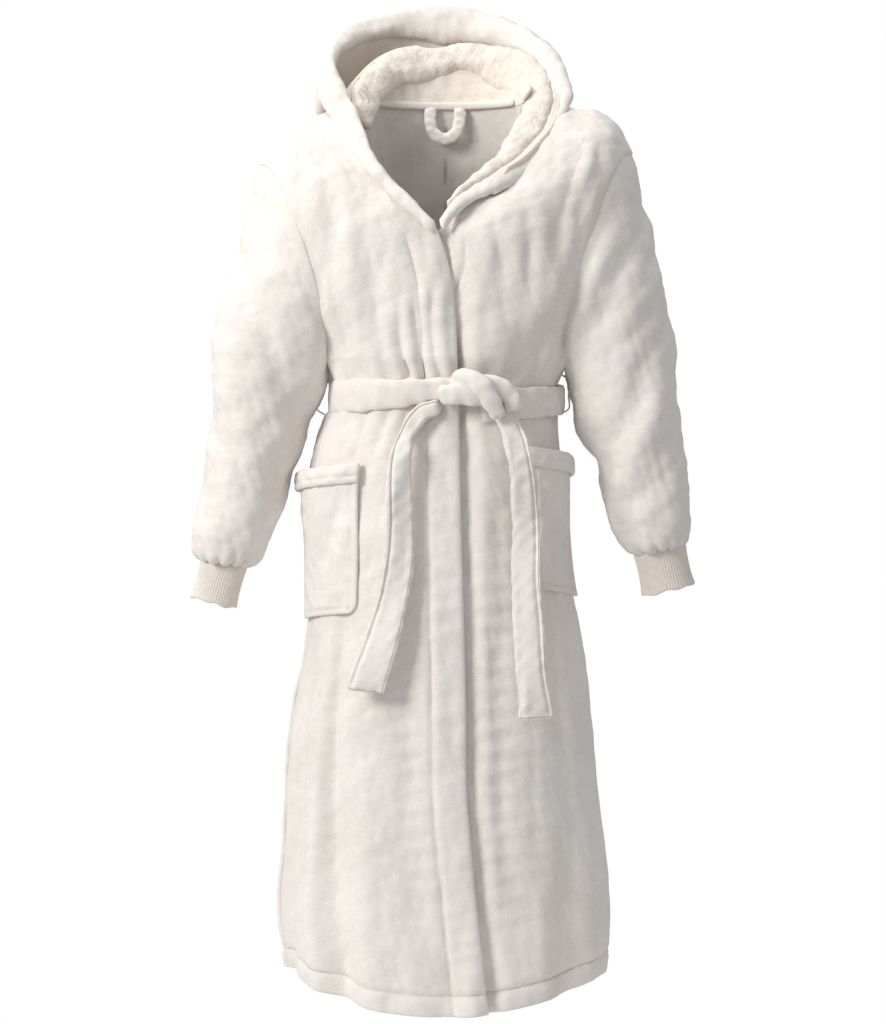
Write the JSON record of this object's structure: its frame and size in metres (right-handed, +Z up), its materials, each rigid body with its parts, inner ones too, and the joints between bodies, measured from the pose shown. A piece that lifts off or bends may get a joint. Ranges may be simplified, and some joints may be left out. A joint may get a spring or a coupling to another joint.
{
  "type": "bathrobe",
  "caption": "Long hooded plush bathrobe, worn shape, crossed over in front and tied at the waist with a sash, with ribbed cuffs, patch pockets and a loop to hang it by.",
  "frame": {"origin": "where the hanging loop is sewn to the middle of the back of the neck", "axes": "+Z up, the wearer faces -Y, +X towards the wearer's left side"},
  "size_m": [0.6868, 0.3053, 1.372],
  "materials": {
    "plush_fleece": "ivory plush fleece, short soft pile",
    "lining_fleece": "ivory long-pile fleece",
    "rib_knit": "fine rib knit",
    "tape": "woven cotton tape"
  },
  "bodies": {
    "robe": {"back_panel": "plush_fleece", "right_front_panel": "plush_fleece", "left_front_panel": "plush_fleece", "right_front_facing": "plush_fleece", "left_front_facing": "plush_fleece", "right_lapel": "plush_fleece", "left_lapel": "plush_fleece", "right_pocket": "plush_fleece", "left_pocket": "plush_fleece", "right_pocket_band": "plush_fleece", "left_pocket_band": "plush_fleece", "right_belt_loop": "tape", "left_belt_loop": "tape", "neck_tape": "tape", "belt_waist": "plush_fleece", "belt_knot": "plush_fleece"},
    "right_arm": {"right_sleeve": "plush_fleece", "right_cuff": "rib_knit"},
    "left_arm": {"left_sleeve": "plush_fleece", "left_cuff": "rib_knit"},
    "hood": {"hood_right_half": "plush_fleece", "hood_left_half": "plush_fleece", "hood_rim_right": "plush_fleece", "hood_rim_left": "plush_fleece", "hood_lining_right": "lining_fleece", "hood_lining_left": "lining_fleece"},
    "tail_right": {"belt_tail_right": "plush_fleece"},
    "tail_left": {"belt_tail_left": "plush_fleece"},
    "loop": {"hanging_loop": "plush_fleece"}
  },
  "joints": [
    {"name": "right_arm_raise", "type": "hinge", "parent": "robe", "child": "right_arm", "pos_m": [-0.2572, -0.06, -0.0902], "axis": [0, 1, 0], "range_deg": [0, 70]},
    {"name": "left_arm_raise", "type": "hinge", "parent": "robe", "child": "left_arm", "pos_m": [0.2572, -0.06, -0.0902], "axis": [0, -1, 0], "range_deg": [0, 70]},
    {"name": "hood_lift", "type": "hinge", "parent": "robe", "child": "hood", "pos_m": [0, -0.06, 0], "axis": [1, 0, 0], "range_deg": [0, 45]},
    {"name": "tail_right_swing", "type": "hinge", "parent": "robe", "child": "tail_right", "pos_m": [0.001, -0.1945, -0.4372], "axis": [-1, 0, 0], "range_deg": [0, 60]},
    {"name": "tail_left_swing", "type": "hinge", "parent": "robe", "child": "tail_left", "pos_m": [0.043, -0.1945, -0.4372], "axis": [-1, 0, 0], "range_deg": [0, 60]},
    {"name": "loop_turn_up", "type": "hinge", "parent": "robe", "child": "loop", "pos_m": [0, 0, -0.002], "axis": [-1, 0, 0], "range_deg": [0, 150]}
  ]
}
